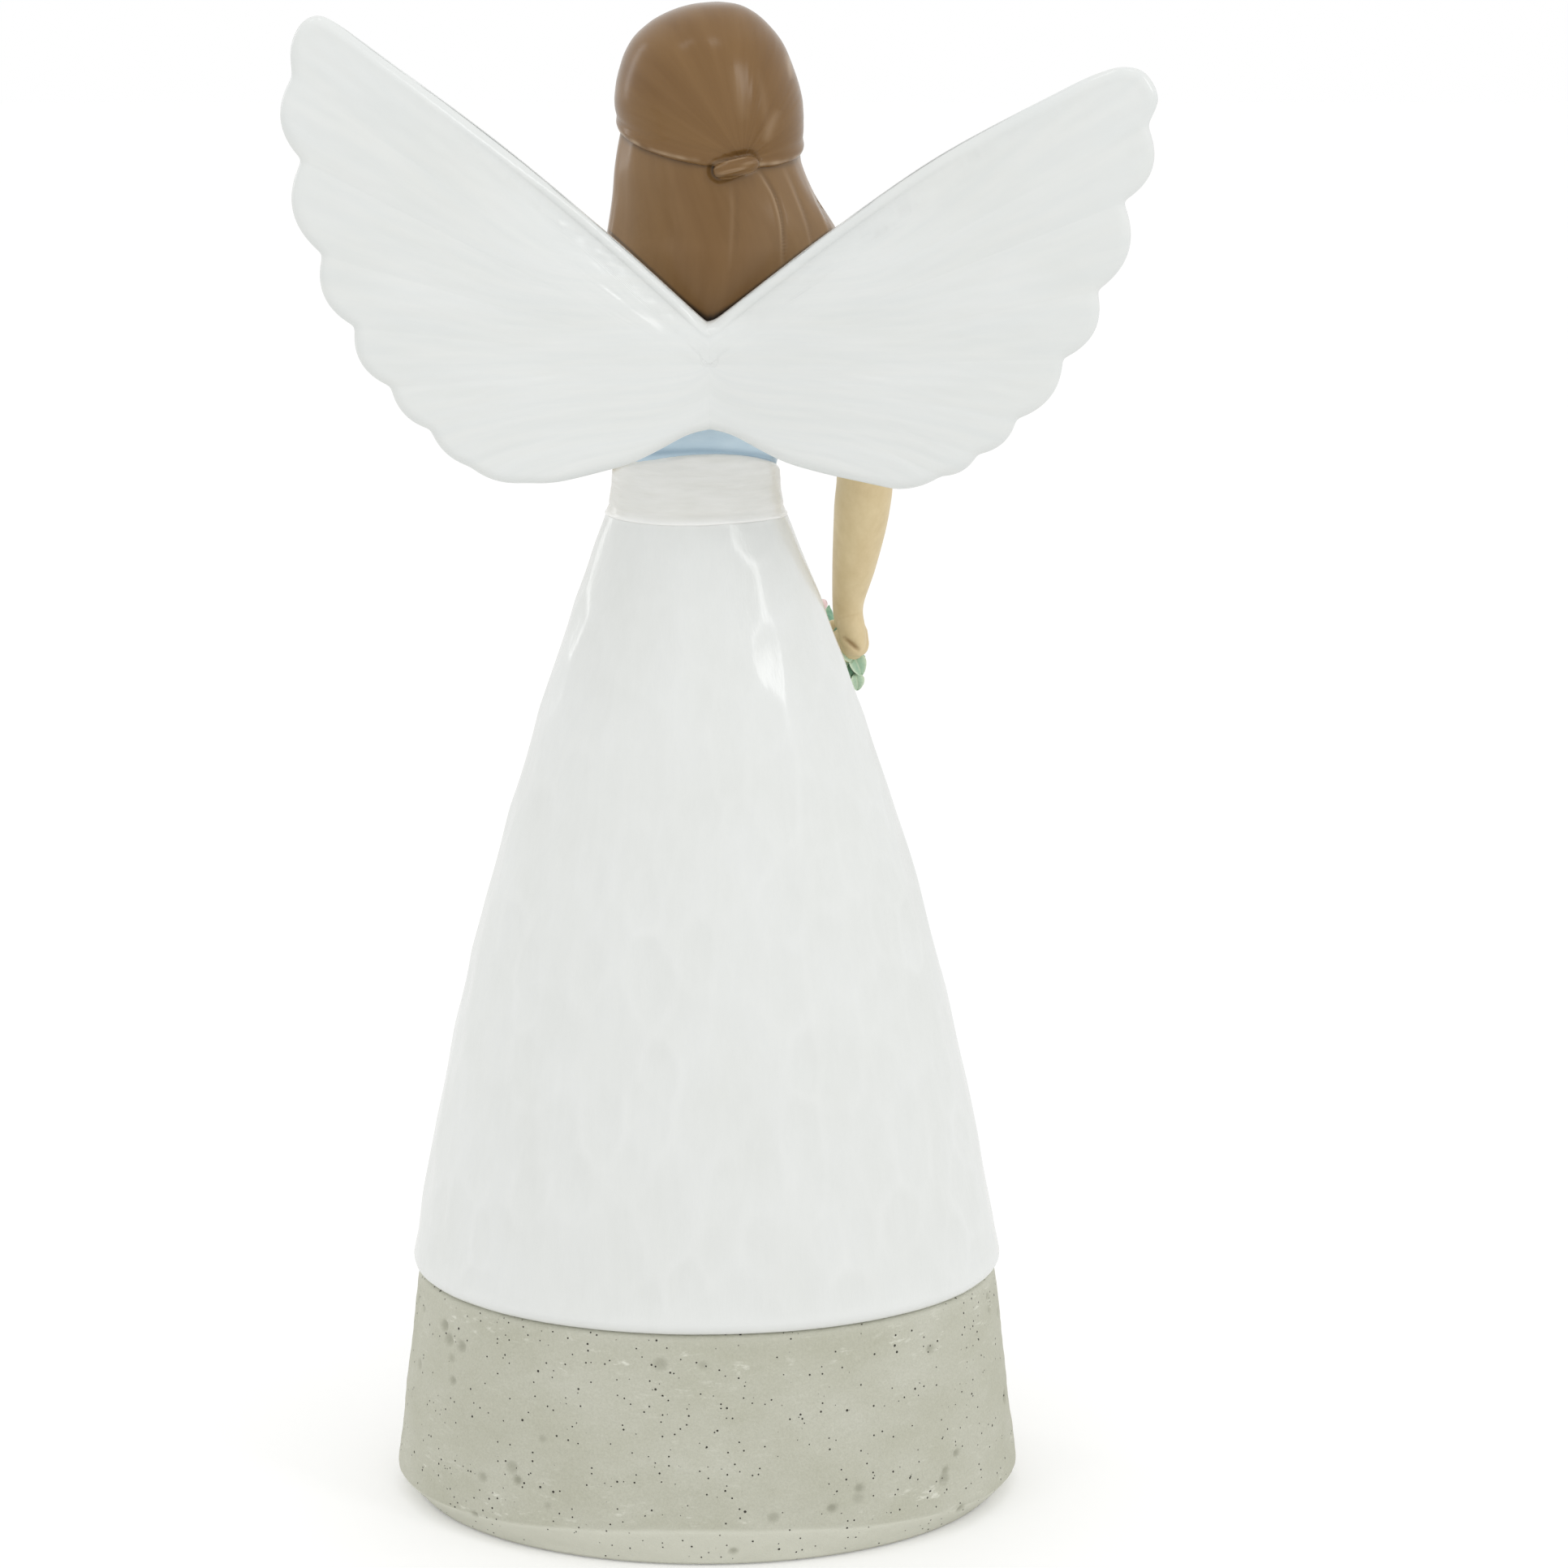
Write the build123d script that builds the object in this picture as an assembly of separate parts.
from build123d import *
from math import atan, cos, degrees, pi, radians, sin
import os

# A standing resin angel on a cast-stone base. Millimetres, +Z up, the back towards +Y and the
# front towards -Y. The origin is the middle of the flat face that the figure rests on.

# flat sides that make up the round bodies
base_sides = 44
oval_sides = 32
body_sides = 30
head_sides = 28
limb_sides = 16
neckline_sides = 16
stem_sides = 7
blossom_sides = 10

# felt pad under the base
pad_thickness = 1.3
pad_proud = 0.3              # how far the felt stands below the stone
pad_inset = 3.5              # from the edge of the stone's bearing face

# cast-stone base: an oval block whose wall leans in, bevelled all round below
base_height = 33.6           # top face, above the table
base_foot_width = 92.2
base_foot_depth = 71.4
base_top_width = 84.0
base_top_depth = 64.6
bearing_width = 85.2         # flat underside, inside the bevel
bearing_depth = 67.4
bevel_height = 6.0
bevel_lean_side = 7.0        # how far the bevel opens at the sides, over its height
bevel_lean_back = 1.6        # and at the back and front
locating_boss_width = 52.0
locating_boss_depth = 38.0
locating_boss_height = 4.0

# steel rod that ties the stone to the resin
rod_diameter = 6.0
rod_in_base = 24.0
rod_in_skirt = 40.0
glue_gap = 0.1               # round every glued peg, plug and rod
bottom_gap = 0.3             # under the end of every glued peg, plug and rod

tool_reach = 90.0            # of the blocks that cut a piece back, wider than any piece they cut

# skirt
skirt_height = 111.0         # from the stone to the waist
hem_overhang = 1.1           # past the top of the stone
hem_lip_radius = 1.8
skirt_bulge = 3.4            # how far the flank swells past a straight cone
skirt_sway = 0.3             # the swell leans this far to the figure's right
waist_shift = 1.45           # the waist stands a little towards the figure's left
hem_shift = 0.4
skirt_rows = 10
skirt_sides = 48

# From here up every height is measured from the waist, where the skirt ends.

# waistband
waist_width = 25.2
waist_depth = 19.8
band_top_width = 23.2
band_top_depth = 18.6
band_height = 6.4            # at the sides
band_slope = 0.25            # the top edge climbs towards the back
band_lip = 0.4               # the rolled lip along the lower edge stands out this far
band_lip_height = 0.9

# waist plug of the bodice, through the band and into the skirt
plug_width = 18.0
plug_depth = 13.6
plug_in_skirt = 6.0

# bodice sections: height, middle across, middle front to back, half width, half depth
bodice_sections = (
    (1.4, 1.3, 0.0, 11.0, 8.9),
    (6.4, 1.2, 0.0, 11.2, 9.0),
    (11.9, 0.8, -0.4, 12.3, 9.8),
    (17.9, 0.3, -0.9, 13.7, 10.5),
    (23.9, -0.2, -0.4, 14.0, 9.8),
    (28.9, -0.5, 0.0, 12.6, 8.2),
    (32.9, -0.6, 0.3, 9.0, 6.2),
    (35.4, -0.6, 0.4, 6.2, 5.0),
)

# neck and the bare skin inside the scooped neckline
neck_radius = 4.1
neck_middle = (-0.5, 0.2)
neckline_width = 15.0
neckline_height = 26.9       # lowest point of the scoop
chin_height = 42.2
neck_peg_depth = 7.0
neck_peg_radius = 3.3
chest_inset = 2.0            # the bare chest is bedded this far behind the neck's middle

# head sections: height, middle across, middle front to back, half width, half depth
head_sections = (
    (42.2, -0.4, -7.6, 1.9, 2.0),
    (43.6, -0.4, -6.3, 4.4, 4.5),
    (46.4, -0.4, -3.6, 7.2, 7.7),
    (50.4, -0.4, -1.3, 9.0, 10.3),
    (55.4, -0.4, -0.1, 9.8, 11.5),
    (60.9, -0.4, 0.3, 9.4, 11.2),
    (65.4, -0.4, 0.5, 6.9, 8.4),
    (67.6, -0.4, 0.6, 3.0, 3.8),
)
nose_tip = (-0.4, -11.9, 50.8)
nose_bridge = (-0.4, -11.0, 55.0)
nose_root = 2.2              # the ridge starts this deep in the head
nose_tip_half = 1.3
nose_bridge_half = 0.6

# hair gathered over the crown: height, middle across, middle front to back, half width, half depth
crown_sections = (
    (45.4, -0.6, 1.6, 12.8, 12.2),
    (49.4, -0.6, 1.5, 12.9, 12.5),
    (53.4, -0.7, 1.3, 12.8, 12.6),
    (57.4, -0.5, 1.1, 12.8, 12.7),
    (61.9, -0.3, 1.0, 11.9, 12.0),
    (66.1, -0.3, 0.9, 9.7, 9.9),
    (68.6, -0.5, 0.8, 6.4, 6.6),
    (70.3, -1.0, 0.7, 2.2, 2.3),
)
crown_edge_height = 52.3    # of the gathered hair's lower edge, in the middle of the head
crown_edge_slope_side = 0.127
crown_edge_slope_back = -0.204
face_opening_width = 16.6
face_opening_height = 26.0
face_opening_middle = 51.0
face_opening_back = -2.5     # the hair closes behind this

# long hair below the edge
fall_sections = (
    (22.9, -0.8, 9.4, 5.0, 1.9),
    (26.4, -1.4, 7.8, 12.6, 4.1),
    (32.4, -2.4, 5.2, 16.4, 6.8),
    (39.4, -2.4, 3.1, 15.8, 9.1),
    (44.4, -1.3, 2.5, 13.8, 10.2),
    (49.4, -0.6, 2.0, 12.2, 10.9),
    (54.9, -0.6, 1.8, 10.9, 9.8),
)

fall_front = -3.0            # the long hair hangs behind this

# rolled strand that ties the gathered hair
knot_middle = (-4.3, 13.5, 49.0)
knot_length = 6.4
knot_radius = 1.3
knot_tilt = 8.0

# arms: middle and radius of each section, down from the shoulder
right_arm_sections = (
    ((-12.6, 0.3, 28.4), 3.4),
    ((-16.4, -0.4, 21.9), 3.9),
    ((-20.0, -2.0, 13.9), 3.7),
    ((-22.2, -4.2, 5.4), 3.9),
    ((-21.9, -6.6, -1.1), 3.95),
)
right_forearm_sections = (   # the middles are given from the middle of the palm
    ((-0.7, 3.6, 10.7), 3.2),
    ((0.1, 1.0, 3.2), 2.3),
)
left_arm_sections = (
    ((12.2, 0.3, 28.4), 3.4),
    ((16.0, -0.4, 21.9), 3.9),
    ((19.4, -1.9, 14.4), 3.7),
    ((19.6, -5.0, 8.6), 3.8),
    ((14.6, -10.6, 9.0), 3.6),
    ((9.0, -14.2, 12.4), 2.8),
    ((4.4, -14.9, 15.8), 2.1),
)
sleeve_sections = (
    ((9.5, 0.4, 29.0), 4.4),
    ((13.0, 0.2, 27.6), 5.2),
    ((16.6, -0.5, 22.0), 5.5),
    ((18.6, -1.2, 17.0), 5.1),
)

# hands
right_palm_drop = 19.8       # below the waist
right_palm_out = 1.09        # from the middle, as a share of the skirt's half width at that height
right_palm_forward = 0.85    # and of its half depth
left_palm_middle = (1.6, -13.9, 17.6)
left_hand_turn = (0, -58, -16)
palm_length = 8.0
palm_width = 6.4
palm_thickness = 5.4
thumb_radius = 1.0
thumb_length = 4.6

# wings, seen from behind: a fan of feathers round the middle of the back
fan_middle = (-0.8, 22.7)    # across, height
wing_top_notch = 28.4        # where the two leading edges meet
wing_low_notch = 13.7        # where the two lower edges meet
wing_root_back = 18.0        # how far the back face stands behind the body's middle
wing_root_thickness = 5.0
wing_tip_thickness = 2.0
wing_sweep = 0.333           # the plan leaves the root at this slope
wing_cup_depth = 8.0         # and turns forward by this much at the span
wing_span = 60.0
notch_angles = {
    "left": (35.8, 28.0, 17.4, 7.6, -2.4, -11.7, -21.9, -31.2),
    "right": (29.6, 22.6, 12.1, 2.4, -8.5, -17.1, -24.4, -33.1),
}
tip_length = 70.0            # from the fan's middle
notch_shares = (0.953, 0.856, 0.757, 0.674, 0.6, 0.543, 0.493, 0.424)   # of the tip's length
tip_angles = {"left": 41.2, "right": 33.8}
tip_start_share = 0.951      # where the leading edge runs into the round tip
tip_start_turn = 2.8         # degrees above the tip
tip_far_turn = 1.4           # the outermost point, degrees below the tip
lower_edge_bends = ((14.0, 4.8), (6.6, 2.4))   # from the low notch: outwards, downwards
lobe_rise = 0.22             # of the first feather's end, as a share of its chord
lobe_rise_step = 0.018       # less for each feather further down
leading_edge_rise = {"left": 1.3, "right": 2.4}
edge_bead_width = 2.2
edge_bead_rise = 0.45
feather_turn = 3.2           # each feather lies tilted over the next by this many degrees
fan_root_radius = 13.0       # inside this the feathers run together
wing_peg_radius = 2.2
wing_peg_depth = 5.0
wing_peg_seat = 9.4          # where the bodice's back stands at the pegs
wing_peg_side = 5.2          # from the middle of the back
wing_peg_height = 18.4
wing_pad_radius = 4.0
wing_seam = 0.05             # half the glue line between the two wings

# posy in the right hand
posy_direction = (0.50, -0.72, -0.48)
stem_radius = 0.7
stem_bundle_radius = 1.45
stem_tail = 2.0              # behind the middle of the hand, hidden in it
stem_reach = 9.4             # from the hand to the middle blossom
stem_spread_start = 4.6      # where the outer stems start to lean
outer_stem_length = 6.0
outer_blossoms = 6
blossom_lean = 46.0          # degrees from the posy's direction
blossom_radius = 2.5
blossom_height = 2.6
leaf_count = 7
leaf_start = 3.95            # from the middle of the hand
leaf_length = 4.7
leaf_phase = 0.15            # turns the whorl, as a share of the step between two leaves
leaf_width = 3.4
leaf_thickness = 0.7
leaf_arch = 0.25             # how far the tip drops, as a share of the length
leaf_fold = 0.35             # slope of the two halves up from the middle rib
leaf_lean = 80.0             # degrees from the posy's direction
leaf_widths = ((0.0, 0.25), (0.3, 0.85), (0.55, 1.0), (0.8, 0.62), (1.0, 0.08))


def ring(height, across, along, half_width, half_depth, sides, turn=0.0):
    """The corners of a level oval with flat sides; turn shifts them by that many sides."""
    angles = [2 * pi * (index + turn) / sides for index in range(sides)]
    return [Vector(across + half_width * cos(a), along + half_depth * sin(a), height) for a in angles]


def faceted(rings):
    """A closed body of flat three-cornered facets through rings with equally many corners."""
    sides = len(rings[0])
    faces = [Face(Wire.make_polygon(rings[0])), Face(Wire.make_polygon(rings[-1]))]
    for low, high in zip(rings, rings[1:]):
        for index in range(sides):
            after = (index + 1) % sides
            faces.append(Face(Wire.make_polygon([low[index], low[after], high[index]])))
            faces.append(Face(Wire.make_polygon([low[after], high[after], high[index]])))
    return Part() + Solid(Shell(faces))


def faceted_oval(sections, sides):
    return faceted([ring(*section, sides) for section in sections])


def prism(half_width, half_depth, depth, sides=oval_sides):
    """An upright oval plug with flat sides."""
    return faceted([ring(z, 0, 0, half_width, half_depth, sides) for z in (0, depth)])


def egg(half_width, half_depth, half_height, sides, levels):
    """A faceted egg shape about the origin."""
    rings = []
    for level in range(1, levels):
        angle = pi * level / levels
        size = sin(angle)
        rings.append(ring(-half_height * cos(angle), 0, 0, half_width * size, half_depth * size, sides))
    return faceted(rings)


def limb(sections, sides, extra=0.0):
    """A round limb through its middles, each ring square to the way the limb runs."""
    rings = []
    side = Vector(0, 1, 0)
    for index, (middle, radius) in enumerate(sections):
        before = Vector(*sections[max(index - 1, 0)][0])
        after = Vector(*sections[min(index + 1, len(sections) - 1)][0])
        along = (after - before).normalized()
        side = (side - along * side.dot(along)).normalized()
        plane = Plane(origin=middle, x_dir=side, z_dir=along)
        flat = ring(0, 0, 0, radius + extra, radius + extra, sides)
        rings.append([plane.from_local_coords(corner) for corner in flat])
    return faceted(rings)


def base_wall():
    foot = ring(0, hem_shift, 0, base_foot_width / 2, base_foot_depth / 2, base_sides)
    top = ring(base_height, hem_shift, 0, base_top_width / 2, base_top_depth / 2, base_sides)
    return faceted([foot, top])


def base_bevel():
    """The wider cone that bevels the foot: it meets the wall highest at the back and front."""
    top = base_height + locating_boss_height
    wide = bearing_width / 2 + bevel_lean_side * (top - pad_proud) / bevel_height
    deep = bearing_depth / 2 + bevel_lean_back * (top - pad_proud) / bevel_height
    low = ring(pad_proud, hem_shift, 0, bearing_width / 2, bearing_depth / 2, base_sides)
    return faceted([low, ring(top, hem_shift, 0, wide, deep, base_sides)])


def felt_pad(gap=0.0):
    width = bearing_width / 2 - pad_inset + gap
    return Pos(hem_shift, 0, 0) * prism(width, bearing_depth / 2 - pad_inset + gap, pad_thickness)


def locating_boss(gap=0.0):
    boss = prism(locating_boss_width / 2 + gap, locating_boss_depth / 2 + gap, locating_boss_height + gap)
    return Pos(hem_shift, 0, base_height) * boss


def centre_rod(gap=0.0, end=0.0):
    length = rod_in_base + rod_in_skirt + 2 * end
    bottom = base_height - rod_in_base - end
    return Pos(hem_shift, 0, bottom + length / 2) * Cylinder(rod_diameter / 2 + gap, length)


def base():
    block = (base_wall() & base_bevel()) + locating_boss()
    return block - felt_pad(glue_gap) - centre_rod(glue_gap, bottom_gap)


def skirt_half_size(share):
    """Half width and half depth at a share of the way from the hem to the waist."""
    hem_width = base_top_width / 2 + hem_overhang
    hem_depth = base_top_depth / 2 + hem_overhang
    swell = 4 * skirt_bulge * share * (1 - share)
    half_width = hem_width + (waist_width / 2 - hem_width) * share + swell
    half_depth = hem_depth + (waist_depth / 2 - hem_depth) * share + swell * hem_depth / hem_width
    return half_width, half_depth


def skirt_middle(share):
    return hem_shift + (waist_shift - hem_shift) * share - 4 * skirt_sway * share * (1 - share)


def skirt():
    """Rows of facets, each row shifted by half a facet as the hammered surface is."""
    tall = skirt_height
    lips = [(0, 1.0), (hem_lip_radius * 0.3, 0.3), (hem_lip_radius, 0.0)]
    levels = [(rise, inset * hem_lip_radius) for rise, inset in lips]
    levels += [(tall * row / skirt_rows, 0.0) for row in range(1, skirt_rows + 1)]
    rings = []
    for index, (rise, inset) in enumerate(levels):
        share = rise / tall
        across = skirt_middle(share)
        half_width, half_depth = skirt_half_size(share)
        size = (half_width - inset, half_depth - inset)
        rings.append(ring(base_height + rise, across, 0, *size, skirt_sides, index / 2))
    body = faceted(rings) - locating_boss(glue_gap)
    return body - centre_rod(glue_gap, bottom_gap) - at_waist() * waist_plug(glue_gap, bottom_gap)


def at_waist():
    """Carries what is drawn from the waist to its real height."""
    return Pos(0, 0, base_height + skirt_height)


def waist_plug(gap=0.0, end=0.0):
    bottom = -plug_in_skirt - end
    plug = prism(plug_width / 2 + gap, plug_depth / 2 + gap, band_height - bottom)
    return Pos(waist_shift, 0, bottom) * plug


def above_band():
    """Everything above the sloping top edge of the waistband."""
    tilt = Rot(degrees(atan(band_slope)), 0, 0)
    return Pos(0, 0, band_height) * tilt * Pos(0, 0, tool_reach / 2) * Box(*[tool_reach] * 3)


def waistband():
    lip = band_lip_height
    levels = [
        (0, waist_shift, 0, waist_width / 2, waist_depth / 2),
        (lip, waist_shift, 0, waist_width / 2, waist_depth / 2),
        (lip, waist_shift, 0, waist_width / 2 - band_lip, waist_depth / 2 - band_lip),
        (1.6 * band_height, waist_shift, 0, band_top_width / 2, band_top_depth / 2),
    ]
    return faceted_oval(levels, oval_sides) - above_band() - waist_plug(glue_gap)


def neckline_scoop(gap=0.0):
    """The U-shaped window in the front of the bodice."""
    half = neckline_width / 2 - gap
    low = neckline_height + gap
    top = bodice_sections[-1][0] + 2
    outline = Pos(0, low + half) * RegularPolygon(half, neckline_sides)
    outline += Pos(0, (low + half + top) / 2) * Rectangle(2 * half, top - low - half)
    return Pos(neck_middle[0], neck_middle[1] - chest_inset, 0) * extrude(Plane.XZ * outline, tool_reach)


def mirrored(sections):
    return tuple(((-x, y, z), radius) for (x, y, z), radius in sections)


def bodice_blank():
    return faceted_oval(bodice_sections, body_sides) & above_band()


def neck_peg(gap=0.0, end=0.0):
    depth = neck_peg_depth + end
    place = Pos(*neck_middle, bodice_sections[-1][0] - depth)
    return place * prism(neck_peg_radius + gap, neck_peg_radius + gap, depth + 1, limb_sides)


def bodice_outside():
    """The bodice with its two short sleeves, before anything is sunk into it."""
    sleeves = limb(sleeve_sections, limb_sides) + limb(mirrored(sleeve_sections), limb_sides)
    return bodice_blank() + sleeves


def bodice(outside):
    body = outside + waist_plug() - neckline_scoop()
    body -= neck_peg(glue_gap, bottom_gap)
    for sections in (left_arm_sections, right_arm_sections):
        body -= limb(sections, limb_sides, glue_gap)
    for side in (-1, 1):
        body -= wing_peg(side, glue_gap, bottom_gap)
    return body


def neck():
    bottom = bodice_sections[-1][0]
    levels = [
        (bottom, *neck_middle, neck_radius + 1.6, neck_radius + 0.6),
        (bottom + 3, *neck_middle, neck_radius, neck_radius),
        (chin_height + 5, *neck_middle, neck_radius, neck_radius),
    ]
    return faceted_oval(levels, limb_sides)


def nose():
    """A low three-sided ridge that widens to the tip."""
    bridge, tip = Vector(*nose_bridge), Vector(*nose_tip)
    back = Vector(0, nose_root, 0)
    rings = []
    for place, half in ((bridge, nose_bridge_half), (tip, nose_tip_half), (tip + Vector(0, 1, -1.1), 0.6)):
        side = Vector(half, 0, 0)
        rings.append([place, place + back + side, place + back - side])
    return faceted(rings)


def head():
    """The head, the neck and the bare chest that shows in the neckline, as one casting."""
    skull = faceted_oval(head_sections, head_sides)
    chest = bodice_blank() & neckline_scoop(glue_gap)
    return skull + neck() + nose() + chest + neck_peg()


def crown_cut():
    """Everything below the gathered hair's edge, which dips to one side and to the back."""
    normal = Vector(-crown_edge_slope_side, -crown_edge_slope_back, 1)
    edge = Plane(origin=(0, 0, crown_edge_height), x_dir=(1, 0, crown_edge_slope_side), z_dir=normal)
    return edge * Pos(0, 0, -tool_reach / 2) * Box(*[tool_reach] * 3)


def face_opening():
    opening = prism(face_opening_width / 2, face_opening_height / 2, tool_reach, limb_sides)
    return Pos(neck_middle[0], face_opening_back, face_opening_middle) * Rot(90, 0, 0) * opening


def hair_crown(head_solid):
    return faceted_oval(crown_sections, head_sides) - crown_cut() - head_solid - face_opening()


def hair_fall(head_solid, bodice_outer):
    fall = faceted_oval(fall_sections, head_sides) & crown_cut()
    in_front = Pos(0, fall_front - tool_reach / 2, crown_edge_height) * Box(*[tool_reach] * 3)
    return fall - in_front - head_solid - bodice_outer - face_opening()


def hair_knot(crown, fall):
    roll = egg(knot_radius, knot_radius, knot_length / 2, 10, 6)
    return Pos(*knot_middle) * Rot(0, 90 + knot_tilt, 0) * roll - crown - fall


def hand(middle, turn, thumb_turn):
    """A closed hand: a rounded palm with the thumb laid along its front."""
    palm = egg(palm_thickness / 2, palm_width / 2, palm_length / 2, limb_sides, 7)
    thumb = egg(thumb_radius, thumb_radius, thumb_length / 2, 8, 5)
    thumb = Pos(0, -palm_width / 2, 0.6) * Rot(*thumb_turn) * thumb
    return Pos(Vector(*middle)) * Rot(*turn) * (palm + thumb)


def right_palm():
    """The middle of the hanging hand, kept clear of the skirt beside it."""
    share = 1 - right_palm_drop / skirt_height
    half_width, half_depth = skirt_half_size(share)
    across = skirt_middle(share) - right_palm_out * half_width
    return Vector(across, -right_palm_forward * half_depth, -right_palm_drop)


def posy_plane():
    """Square to the posy's stems, with +Z towards the blossoms."""
    return Plane(origin=right_palm(), x_dir=(1, 0, 0.68), z_dir=Vector(*posy_direction))


def right_arm():
    palm = right_palm()
    forearm = [(tuple(palm + Vector(*middle)), radius) for middle, radius in right_forearm_sections]
    arm = limb((*right_arm_sections, *forearm), limb_sides)
    bottom = -stem_tail - bottom_gap
    grip_bore = Pos(0, 0, (bottom + stem_reach) / 2) * Cylinder(stem_bundle_radius + glue_gap, stem_reach - bottom)
    return arm + hand(palm, (0, 0, 0), (12, 0, 0)) - posy_plane() * grip_bore


def left_arm(bodice_outer):
    """The bent arm, its palm shaped to the chest that it rests on."""
    arm = limb(left_arm_sections, limb_sides)
    return arm + (hand(left_palm_middle, left_hand_turn, (12, 0, 0)) - bodice_outer)


def fan_point(side, angle, length):
    """A point of the wing's outline, given from the fan's middle."""
    across = fan_middle[0] + side * (wing_seam + length * cos(radians(angle)))
    return Vector(across, fan_middle[1] + length * sin(radians(angle)))


def outward_arc(start, end, rise):
    """An arc that swells away from the fan's middle."""
    middle = (start + end) / 2
    chord = end - start
    normal = Vector(-chord.Y, chord.X).normalized()
    if normal.dot(middle - Vector(*fan_middle)) < 0:
        normal = -normal
    return ThreePointArc(start, middle + normal * rise, end)


def leading_edge(side, name):
    tip_angle = tip_angles[name]
    start = fan_point(side, 90, wing_top_notch - fan_middle[1])
    start = Vector(fan_middle[0] + side * wing_seam, start.Y)
    end = fan_point(side, tip_angle + tip_start_turn, tip_start_share * tip_length)
    return outward_arc(start, end, leading_edge_rise[name])


def wing_outline(side, name):
    """The whole wing seen from behind: leading edge, round tip, scalloped ends, lower edge."""
    leading = leading_edge(side, name)
    lengths = [share * tip_length for share in notch_shares]
    notches = [fan_point(side, *notch) for notch in zip(notch_angles[name], lengths)]
    tip = fan_point(side, tip_angles[name] - tip_far_turn, tip_length)
    edges = [leading, TangentArc(leading @ 1, tip, tangent=leading % 1)]
    edges.append(TangentArc(tip, notches[0], tangent=edges[-1] % 1))
    for index in range(len(notches) - 1):
        start, end = notches[index], notches[index + 1]
        share = lobe_rise - lobe_rise_step * index
        edges.append(outward_arc(start, end, share * (end - start).length))
    middle = Vector(fan_middle[0] + side * wing_seam, wing_low_notch)
    bends = [middle + Vector(side * across, -drop) for across, drop in lower_edge_bends]
    edges.append(Spline([notches[-1], *bends, middle], tangents=[(-side, 0.04), (-side, 0)]))
    edges.append(Line(middle, leading @ 0))
    return make_face(edges)


def upright(sketch):
    """Draws an outline seen from behind out through the whole thickness of the wings."""
    return Pos(0, tool_reach, 0) * extrude(Plane.XZ * sketch, tool_reach)


def wing_back(across):
    """How far back the wing's back face stands, at a distance from the middle."""
    return wing_root_back + wing_sweep * across - wing_cup_depth * (across / wing_span) ** 2


def wing_slab(side, extra=0.0):
    """The wing's plan, thick at the root and thin at the tip, drawn out upwards."""
    places = (0, tip_length / 2, tip_length)
    thinning = (wing_root_thickness - wing_tip_thickness) / tip_length
    thick = [wing_root_thickness - thinning * u for u in places]
    origin = Vector(fan_middle[0] + side * wing_seam, 0)
    back = [origin + Vector(side * u, wing_back(u) + extra) for u in places]
    front = [origin + Vector(side * u, wing_back(u) - t - extra) for u, t in zip(places, thick)]
    outer = ThreePointArc(*back)
    inner = ThreePointArc(*reversed(front))
    plan = make_face([outer, Line(outer @ 1, inner @ 0), inner, Line(inner @ 1, outer @ 0)])
    return Pos(0, 0, fan_middle[1] - tip_length) * extrude(plan, 2 * tip_length)


def sector(side, high, low):
    """The slice of the fan between two directions."""
    reach = 2 * tip_length
    corners = [Vector(*fan_middle)]
    corners += [fan_point(side, angle, reach) for angle in (high, (high + low) / 2, low)]
    return upright(make_face(Polyline(*corners, close=True)))


def feather_axis(side, angle):
    """The line that a feather's shaft follows, in the middle of the wing's thickness."""
    near, far = (fan_point(side, angle, length) for length in (fan_root_radius, wing_span * 0.8))
    ends = []
    for point in (near, far):
        across = abs(point.X - fan_middle[0])
        ends.append(Vector(point.X, wing_back(across) - wing_tip_thickness, point.Y))
    return Axis(origin=ends[0], direction=ends[1] - ends[0])


def edge_bead(side, name):
    """The rolled rim along the leading edge."""
    leading = leading_edge(side, name)
    inward = Vector(leading.tangent_at(0.5).Y, -leading.tangent_at(0.5).X) * side
    inner = leading.moved(Location(inward * edge_bead_width))
    strip = make_face([leading, Line(leading @ 1, inner @ 1), inner, Line(inner @ 0, leading @ 0)])
    return upright(strip) & wing_slab(side, edge_bead_rise)


def wing_peg(side, gap=0.0, end=0.0):
    """The round peg that enters the back of the bodice."""
    front = wing_peg_seat - wing_peg_depth - end
    length = wing_root_back - front
    place = Pos(fan_middle[0] + side * wing_peg_side, front + length / 2, wing_peg_height)
    return place * Rot(90, 0, 0) * Cylinder(wing_peg_radius + gap, length)


def wing(side, name, bodice_outer):
    outline = upright(wing_outline(side, name))
    slab = wing_slab(side) & outline
    root_zone = upright(Pos(*fan_middle) * Circle(fan_root_radius))
    body = slab & root_zone
    bounds = (100, *notch_angles[name], -100)
    for high, low in zip(bounds, bounds[1:]):
        middle = (max(low, -60) + min(high, 60)) / 2
        turn = -side * feather_turn if high < 90 else 0
        leaf = wing_slab(side).rotate(feather_axis(side, middle), turn)
        body += (leaf & outline & sector(side, high, low)) - root_zone
    body += edge_bead(side, name)
    pad = wing_peg(side, wing_pad_radius - wing_peg_radius, -wing_peg_depth)
    return body + (pad - bodice_outer) + wing_peg(side)


def stem(start, end):
    return limb(((start, stem_radius), (end, stem_radius)), stem_sides)


def outer_turns():
    return [Rot(0, 0, 360 / outer_blossoms * index) for index in range(outer_blossoms)]


def outer_lean():
    """From the knee of an outer stem to the way it leans."""
    return Pos(stem_bundle_radius - stem_radius, 0, stem_spread_start) * Rot(0, blossom_lean, 0)


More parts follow.
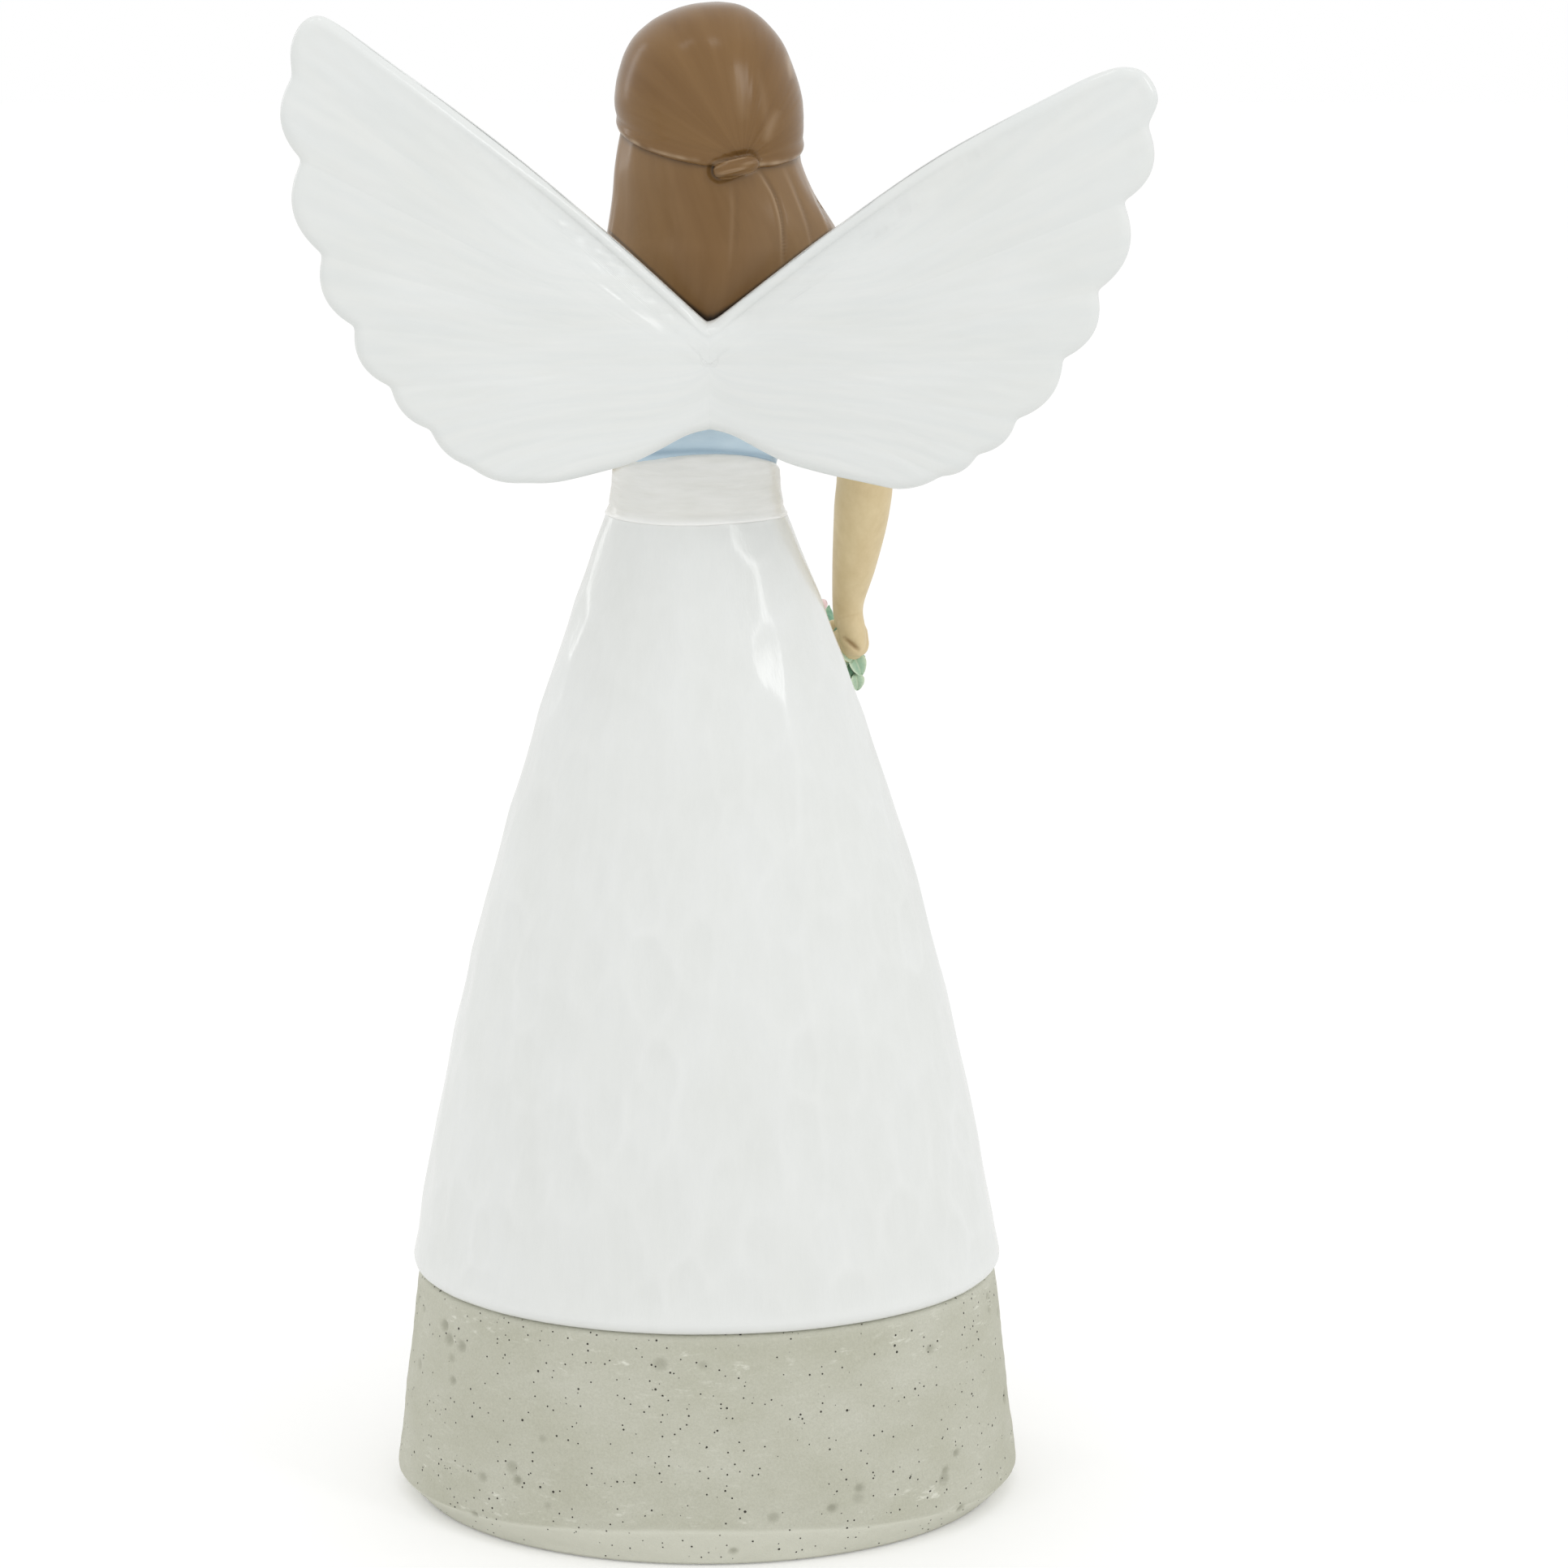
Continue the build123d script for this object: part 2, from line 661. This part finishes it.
def posy_stems():
    """Six stems round a middle one, bundled through the hand and spread to their blossoms."""
    ring_radius = stem_bundle_radius - stem_radius
    knee = (ring_radius, 0, stem_spread_start)
    stems = stem((0, 0, -stem_tail), (0, 0, stem_reach))
    for turn in outer_turns():
        stems += turn * stem((ring_radius, 0, -stem_tail), knee)
        stems += turn * outer_lean() * stem((0, 0, -0.6), (0, 0, outer_stem_length))
    return posy_plane() * stems


def blossom():
    """A domed cup that opens from its stem."""
    profile = ((0, 0.4), (0.35, 0.85), (0.6, 1.0), (0.85, 0.68), (1.0, 0.25))
    return faceted([
        ring(rise * blossom_height, 0, 0, size * blossom_radius, size * blossom_radius, blossom_sides)
        for rise, size in profile
    ])


def posy_blossoms():
    heads = [Pos(0, 0, stem_reach) * blossom()]
    heads += [turn * outer_lean() * Pos(0, 0, outer_stem_length) * blossom() for turn in outer_turns()]
    return posy_plane() * Compound(children=heads)


def leaf():
    """A pointed leaf, folded along its middle rib and arched, growing along +X."""
    rings = []
    for share, size in leaf_widths:
        drop = -leaf_arch * share * share * leaf_length
        half = size * leaf_width / 2
        place = Vector(share * leaf_length, 0, drop)
        top, low = Vector(0, 0, leaf_thickness / 2), Vector(0, 0, -leaf_thickness / 2)
        edge = Vector(0, half, half * leaf_fold)
        other = Vector(0, -half, half * leaf_fold)
        rings.append([place + v for v in (low, edge + low, edge + top, top, other + top, other + low)])
    return faceted(rings)


def posy_leaves():
    blades = []
    for index in range(leaf_count):
        turn = Rot(0, 0, 360 / leaf_count * (index + leaf_phase))
        place = turn * Pos(stem_bundle_radius + 0.05, 0, leaf_start) * Rot(0, leaf_lean - 90, 0)
        blades.append(posy_plane() * place * leaf())
    return Compound(children=blades)


def main():
    bodice_outer = bodice_outside()
    head_solid = head()
    crown = hair_crown(head_solid)
    fall = hair_fall(head_solid, bodice_outer)
    lower = {"felt_pad": felt_pad(), "base": base(), "centre_rod": centre_rod(), "skirt": skirt()}
    upper = {
        "waistband": waistband(),
        "bodice": bodice(bodice_outer),
        "head": head_solid,
        "hair_crown": crown,
        "hair_fall": fall,
        "hair_knot": hair_knot(crown, fall),
        "right_arm": right_arm(),
        "left_arm": left_arm(bodice_outer),
        "left_wing": wing(1, "left", bodice_outer),
        "right_wing": wing(-1, "right", bodice_outer),
        "posy_stems": posy_stems(),
        "posy_blossoms": posy_blossoms(),
        "posy_leaves": posy_leaves(),
    }
    os.makedirs("parts", exist_ok=True)
    for name, piece in lower.items():
        export_step(piece, f"parts/{name}.step")
    for name, piece in upper.items():
        export_step(at_waist() * piece, f"parts/{name}.step")


main()
